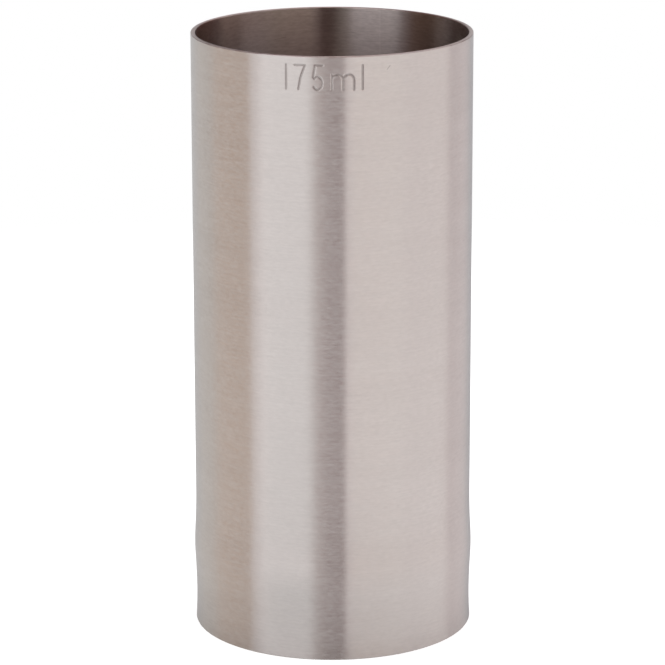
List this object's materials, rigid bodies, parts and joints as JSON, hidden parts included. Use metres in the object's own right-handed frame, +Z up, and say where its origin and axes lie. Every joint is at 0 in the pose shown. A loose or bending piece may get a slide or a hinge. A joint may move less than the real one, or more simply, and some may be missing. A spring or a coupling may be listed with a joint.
{
  "type": "thimble measure",
  "caption": "Straight tubular steel measure with a pressed-in floor, filled to the rim to portion a drink.",
  "frame": {"origin": "centre of the circle that the foot stands on", "axes": "+Z up the tube's axis to the rim; -Y faces the viewer of the picture and bears the capacity mark"},
  "size_m": [0.0508, 0.0508, 0.1092],
  "materials": {
    "tube_steel": "brushed round the tube, inside and out",
    "floor_steel": "satin, as stamped from sheet",
    "weld_steel": "rippled weld with a faint heat tint"
  },
  "bodies": {
    "root": {"body_tube": "tube_steel", "floor_disc": "floor_steel", "weld_bead": "weld_steel"}
  },
  "joints": []
}
